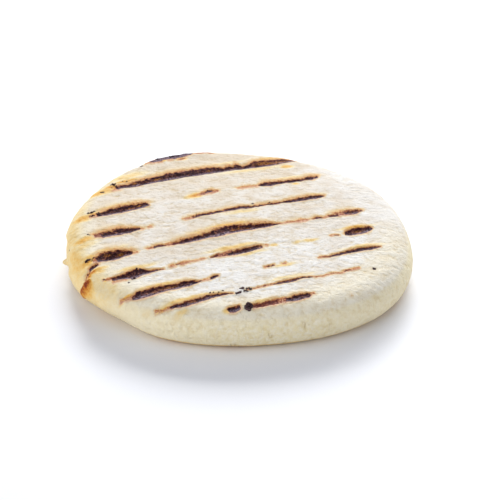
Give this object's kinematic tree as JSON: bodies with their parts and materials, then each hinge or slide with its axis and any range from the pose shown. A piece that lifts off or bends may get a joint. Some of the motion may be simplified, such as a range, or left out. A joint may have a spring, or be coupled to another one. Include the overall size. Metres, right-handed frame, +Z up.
{
  "type": "arepa corn cake",
  "caption": "Round grilled white-corn flatbread with a soft rolled rim, a low crowned top and charred grill grooves on both faces.",
  "frame": {"origin": "centre of the footprint, on the surface that the cake rests on", "axes": "+Z up through the cake's thickness; the grill grooves of the top run about 19 degrees anticlockwise of +X; the folded place of the rim faces -X and -Y"},
  "size_m": [0.11, 0.1102, 0.0142],
  "materials": {
    "grilled_dough": "matte, slightly moist white corn dough, cream with golden and charred grill marks",
    "char": "crisp burnt flakes and crumbs, dark purple-brown with a low sheen"
  },
  "bodies": {
    "root": {"arepa": "grilled_dough"}
  },
  "joints": []
}
